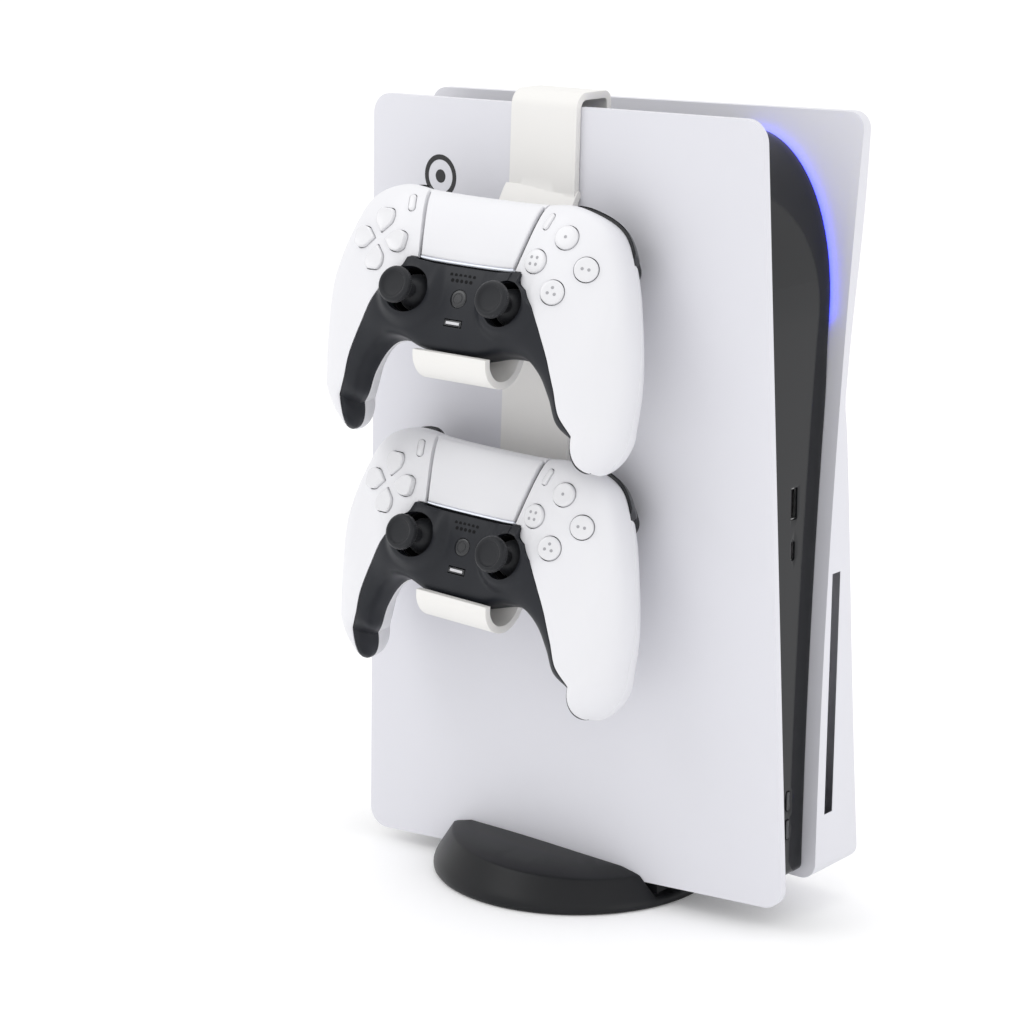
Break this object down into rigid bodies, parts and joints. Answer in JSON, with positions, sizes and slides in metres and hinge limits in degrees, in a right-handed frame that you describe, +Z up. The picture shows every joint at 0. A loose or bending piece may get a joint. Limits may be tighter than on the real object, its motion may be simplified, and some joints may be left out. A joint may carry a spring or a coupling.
{
  "type": "game console with controllers",
  "caption": "Upright game console with flared side panels on a round stand, and a hanger over one side holding wireless controllers with sticks, buttons and triggers.",
  "frame": {"origin": "on the floor, under the stand, midway between the console's side panels", "axes": "+Z up; the console's front faces -Y; the panel with the controllers faces -X"},
  "size_m": [0.1956, 0.2585, 0.4139],
  "materials": {
    "panel_white": "fine matte, cool white",
    "controller_white": "fine matte",
    "hanger_white": "matte, warm white",
    "piano_black": "high gloss",
    "satin_black": "satin",
    "trim_black": "soft matte",
    "stick_rubber": "matte rubber",
    "button_grey": "satin",
    "board_green": "satin",
    "steel": "brushed",
    "fins": "satin",
    "light_blue": "translucent, lit blue"
  },
  "bodies": {
    "console": {"left_side_panel": "panel_white", "right_side_panel": "panel_white", "core_housing": "satin_black", "front_fascia": "piano_black", "light_guide": "light_blue", "motherboard": "board_green", "power_supply": "steel", "heat_sink": "fins", "optical_drive": "steel", "stand": "satin_black", "hanger": "hanger_white"},
    "fan": {"cooling_fan": "satin_black"},
    "power_button": {"power_button": "button_grey"},
    "eject_button": {"eject_button": "button_grey"},
    "upper_controller": {"upper_front_shell": "controller_white", "upper_rear_shell": "controller_white", "upper_trim": "trim_black", "upper_circuit_board": "board_green", "upper_battery": "button_grey"},
    "upper_north": {"upper_north_button": "controller_white"},
    "upper_east": {"upper_east_button": "controller_white"},
    "upper_south": {"upper_south_button": "controller_white"},
    "upper_west": {"upper_west_button": "controller_white"},
    "upper_create": {"upper_create_button": "controller_white"},
    "upper_options": {"upper_options_button": "controller_white"},
    "upper_home": {"upper_home_button": "trim_black"},
    "upper_mute": {"upper_mute_button": "button_grey"},
    "upper_touchpad": {"upper_touchpad": "controller_white"},
    "upper_dpad": {"upper_dpad": "controller_white"},
    "upper_left_bumper": {"upper_left_bumper": "trim_black"},
    "upper_left_trigger": {"upper_left_trigger": "trim_black"},
    "upper_left_gimbal": {"upper_left_gimbal": "button_grey"},
    "upper_left_stick": {"upper_left_stick": "stick_rubber"},
    "upper_right_bumper": {"upper_right_bumper": "trim_black"},
    "upper_right_trigger": {"upper_right_trigger": "trim_black"},
    "upper_right_gimbal": {"upper_right_gimbal": "button_grey"},
    "upper_right_stick": {"upper_right_stick": "stick_rubber"},
    "lower_controller": {"lower_front_shell": "controller_white", "lower_rear_shell": "controller_white", "lower_trim": "trim_black", "lower_circuit_board": "board_green", "lower_battery": "button_grey"},
    "lower_north": {"lower_north_button": "controller_white"},
    "lower_east": {"lower_east_button": "controller_white"},
    "lower_south": {"lower_south_button": "controller_white"},
    "lower_west": {"lower_west_button": "controller_white"},
    "lower_create": {"lower_create_button": "controller_white"},
    "lower_options": {"lower_options_button": "controller_white"},
    "lower_home": {"lower_home_button": "trim_black"},
    "lower_mute": {"lower_mute_button": "button_grey"},
    "lower_touchpad": {"lower_touchpad": "controller_white"},
    "lower_dpad": {"lower_dpad": "controller_white"},
    "lower_left_bumper": {"lower_left_bumper": "trim_black"},
    "lower_left_trigger": {"lower_left_trigger": "trim_black"},
    "lower_left_gimbal": {"lower_left_gimbal": "button_grey"},
    "lower_left_stick": {"lower_left_stick": "stick_rubber"},
    "lower_right_bumper": {"lower_right_bumper": "trim_black"},
    "lower_right_trigger": {"lower_right_trigger": "trim_black"},
    "lower_right_gimbal": {"lower_right_gimbal": "button_grey"},
    "lower_right_stick": {"lower_right_stick": "stick_rubber"}
  },
  "joints": [
    {"name": "fan_spin", "type": "hinge", "parent": "console", "child": "fan", "pos_m": [-0.016, 0.005, 0.292], "axis": [1, 0, 0], "continuous": true},
    {"name": "power_press", "type": "slide", "parent": "console", "child": "power_button", "axis": [0, 1, 0], "range_m": [0, 0.0006], "stiffness_N_per_m": 800, "springref_m": -0.0005},
    {"name": "eject_press", "type": "slide", "parent": "console", "child": "eject_button", "axis": [0, 1, 0], "range_m": [0, 0.0006], "stiffness_N_per_m": 800, "springref_m": -0.0005},
    {"name": "upper_lift_off", "type": "slide", "parent": "console", "child": "upper_controller", "axis": [0, 0, 1], "range_m": [0, 0.06]},
    {"name": "upper_north_press", "type": "slide", "parent": "upper_controller", "child": "upper_north", "axis": [0.9366, 0.0732, -0.3427], "range_m": [0, 0.0008], "stiffness_N_per_m": 400, "springref_m": -0.0005},
    {"name": "upper_east_press", "type": "slide", "parent": "upper_controller", "child": "upper_east", "axis": [0.9366, 0.0732, -0.3427], "range_m": [0, 0.0008], "stiffness_N_per_m": 400, "springref_m": -0.0005},
    {"name": "upper_south_press", "type": "slide", "parent": "upper_controller", "child": "upper_south", "axis": [0.9366, 0.0732, -0.3427], "range_m": [0, 0.0008], "stiffness_N_per_m": 400, "springref_m": -0.0005},
    {"name": "upper_west_press", "type": "slide", "parent": "upper_controller", "child": "upper_west", "axis": [0.9366, 0.0732, -0.3427], "range_m": [0, 0.0008], "stiffness_N_per_m": 400, "springref_m": -0.0005},
    {"name": "upper_create_press", "type": "slide", "parent": "upper_controller", "child": "upper_create", "axis": [0.9366, 0.0732, -0.3427], "range_m": [0, 0.0008], "stiffness_N_per_m": 400, "springref_m": -0.0005},
    {"name": "upper_options_press", "type": "slide", "parent": "upper_controller", "child": "upper_options", "axis": [0.9366, 0.0732, -0.3427], "range_m": [0, 0.0008], "stiffness_N_per_m": 400, "springref_m": -0.0005},
    {"name": "upper_home_press", "type": "slide", "parent": "upper_controller", "child": "upper_home", "axis": [0.9366, 0.0732, -0.3427], "range_m": [0, 0.0008], "stiffness_N_per_m": 400, "springref_m": -0.0005},
    {"name": "upper_mute_press", "type": "slide", "parent": "upper_controller", "child": "upper_mute", "axis": [0.9366, 0.0732, -0.3427], "range_m": [0, 0.0008], "stiffness_N_per_m": 400, "springref_m": -0.0005},
    {"name": "upper_touchpad_click", "type": "slide", "parent": "upper_controller", "child": "upper_touchpad", "axis": [0.9366, 0.0732, -0.3427], "range_m": [0, 0.0003], "stiffness_N_per_m": 1500, "springref_m": -0.0005},
    {"name": "upper_dpad_press", "type": "slide", "parent": "upper_controller", "child": "upper_dpad", "axis": [0.9366, 0.0732, -0.3427], "range_m": [0, 0.0008], "stiffness_N_per_m": 500, "springref_m": -0.0005},
    {"name": "upper_left_bumper_press", "type": "slide", "parent": "upper_controller", "child": "upper_left_bumper", "axis": [-0.3448, 0.0174, -0.9385], "range_m": [0, 0.0008], "stiffness_N_per_m": 500, "springref_m": -0.0005},
    {"name": "upper_left_trigger_pull", "type": "hinge", "parent": "upper_controller", "child": "upper_left_trigger", "pos_m": [-0.06695, 0.06411, 0.3578], "axis": [-0.0628, 0.9972, 0.0416], "range_deg": [0, 8], "stiffness_Nm_per_rad": 0.08, "springref_deg": -2.86},
    {"name": "upper_left_stick_up_down", "type": "hinge", "parent": "upper_controller", "child": "upper_left_gimbal", "pos_m": [-0.09545, 0.04098, 0.31725], "axis": [0.0628, -0.9972, -0.0416], "range_deg": [-16, 16], "stiffness_Nm_per_rad": 0.02},
    {"name": "upper_left_stick_left_right", "type": "hinge", "parent": "upper_left_gimbal", "child": "upper_left_stick", "pos_m": [-0.09545, 0.04098, 0.31725], "axis": [0.3448, -0.0174, 0.9385], "range_deg": [-16, 16], "stiffness_Nm_per_rad": 0.02},
    {"name": "upper_right_bumper_press", "type": "slide", "parent": "upper_controller", "child": "upper_right_bumper", "axis": [-0.3448, 0.0174, -0.9385], "range_m": [0, 0.0008], "stiffness_N_per_m": 500, "springref_m": -0.0005},
    {"name": "upper_right_trigger_pull", "type": "hinge", "parent": "upper_controller", "child": "upper_right_trigger", "pos_m": [-0.06051, -0.03812, 0.35354], "axis": [-0.0628, 0.9972, 0.0416], "range_deg": [0, 8], "stiffness_Nm_per_rad": 0.08, "springref_deg": -2.86},
    {"name": "upper_right_stick_up_down", "type": "hinge", "parent": "upper_controller", "child": "upper_right_gimbal", "pos_m": [-0.09189, -0.01547, 0.3149], "axis": [0.0628, -0.9972, -0.0416], "range_deg": [-16, 16], "stiffness_Nm_per_rad": 0.02},
    {"name": "upper_right_stick_left_right", "type": "hinge", "parent": "upper_right_gimbal", "child": "upper_right_stick", "pos_m": [-0.09189, -0.01547, 0.3149], "axis": [0.3448, -0.0174, 0.9385], "range_deg": [-16, 16], "stiffness_Nm_per_rad": 0.02},
    {"name": "lower_lift_off", "type": "slide", "parent": "console", "child": "lower_controller", "axis": [0, 0, 1], "range_m": [0, 0.012]},
    {"name": "lower_north_press", "type": "slide", "parent": "lower_controller", "child": "lower_north", "axis": [0.9486, 0.0227, -0.3156], "range_m": [0, 0.0008], "stiffness_N_per_m": 400, "springref_m": -0.0005},
    {"name": "lower_east_press", "type": "slide", "parent": "lower_controller", "child": "lower_east", "axis": [0.9486, 0.0227, -0.3156], "range_m": [0, 0.0008], "stiffness_N_per_m": 400, "springref_m": -0.0005},
    {"name": "lower_south_press", "type": "slide", "parent": "lower_controller", "child": "lower_south", "axis": [0.9486, 0.0227, -0.3156], "range_m": [0, 0.0008], "stiffness_N_per_m": 400, "springref_m": -0.0005},
    {"name": "lower_west_press", "type": "slide", "parent": "lower_controller", "child": "lower_west", "axis": [0.9486, 0.0227, -0.3156], "range_m": [0, 0.0008], "stiffness_N_per_m": 400, "springref_m": -0.0005},
    {"name": "lower_create_press", "type": "slide", "parent": "lower_controller", "child": "lower_create", "axis": [0.9486, 0.0227, -0.3156], "range_m": [0, 0.0008], "stiffness_N_per_m": 400, "springref_m": -0.0005},
    {"name": "lower_options_press", "type": "slide", "parent": "lower_controller", "child": "lower_options", "axis": [0.9486, 0.0227, -0.3156], "range_m": [0, 0.0008], "stiffness_N_per_m": 400, "springref_m": -0.0005},
    {"name": "lower_home_press", "type": "slide", "parent": "lower_controller", "child": "lower_home", "axis": [0.9486, 0.0227, -0.3156], "range_m": [0, 0.0008], "stiffness_N_per_m": 400, "springref_m": -0.0005},
    {"name": "lower_mute_press", "type": "slide", "parent": "lower_controller", "child": "lower_mute", "axis": [0.9486, 0.0227, -0.3156], "range_m": [0, 0.0008], "stiffness_N_per_m": 400, "springref_m": -0.0005},
    {"name": "lower_touchpad_click", "type": "slide", "parent": "lower_controller", "child": "lower_touchpad", "axis": [0.9486, 0.0227, -0.3156], "range_m": [0, 0.0003], "stiffness_N_per_m": 1500, "springref_m": -0.0005},
    {"name": "lower_dpad_press", "type": "slide", "parent": "lower_controller", "child": "lower_dpad", "axis": [0.9486, 0.0227, -0.3156], "range_m": [0, 0.0008], "stiffness_N_per_m": 500, "springref_m": -0.0005},
    {"name": "lower_left_bumper_press", "type": "slide", "parent": "lower_controller", "child": "lower_left_bumper", "axis": [-0.3163, 0.0471, -0.9475], "range_m": [0, 0.0008], "stiffness_N_per_m": 500, "springref_m": -0.0005},
    {"name": "lower_left_trigger_pull", "type": "hinge", "parent": "lower_controller", "child": "lower_left_trigger", "pos_m": [-0.05237, 0.07034, 0.23238], "axis": [-0.0066, 0.9986, 0.0519], "range_deg": [0, 8], "stiffness_Nm_per_rad": 0.08, "springref_deg": -2.86},
    {"name": "lower_left_stick_up_down", "type": "hinge", "parent": "lower_controller", "child": "lower_left_gimbal", "pos_m": [-0.08098, 0.04932, 0.19078], "axis": [0.0066, -0.9986, -0.0519], "range_deg": [-16, 16], "stiffness_Nm_per_rad": 0.02},
    {"name": "lower_left_stick_left_right", "type": "hinge", "parent": "lower_left_gimbal", "child": "lower_left_stick", "pos_m": [-0.08098, 0.04932, 0.19078], "axis": [0.3163, -0.0471, 0.9475], "range_deg": [-16, 16], "stiffness_Nm_per_rad": 0.02},
    {"name": "lower_right_bumper_press", "type": "slide", "parent": "lower_controller", "child": "lower_right_bumper", "axis": [-0.3163, 0.0471, -0.9475], "range_m": [0, 0.0008], "stiffness_N_per_m": 500, "springref_m": -0.0005},
    {"name": "lower_right_trigger_pull", "type": "hinge", "parent": "lower_controller", "child": "lower_right_trigger", "pos_m": [-0.05169, -0.03204, 0.22706], "axis": [-0.0066, 0.9986, 0.0519], "range_deg": [0, 8], "stiffness_Nm_per_rad": 0.08, "springref_deg": -2.86},
    {"name": "lower_right_stick_up_down", "type": "hinge", "parent": "lower_controller", "child": "lower_right_gimbal", "pos_m": [-0.0806, -0.00721, 0.18785], "axis": [0.0066, -0.9986, -0.0519], "range_deg": [-16, 16], "stiffness_Nm_per_rad": 0.02},
    {"name": "lower_right_stick_left_right", "type": "hinge", "parent": "lower_right_gimbal", "child": "lower_right_stick", "pos_m": [-0.0806, -0.00721, 0.18785], "axis": [0.3163, -0.0471, 0.9475], "range_deg": [-16, 16], "stiffness_Nm_per_rad": 0.02}
  ]
}
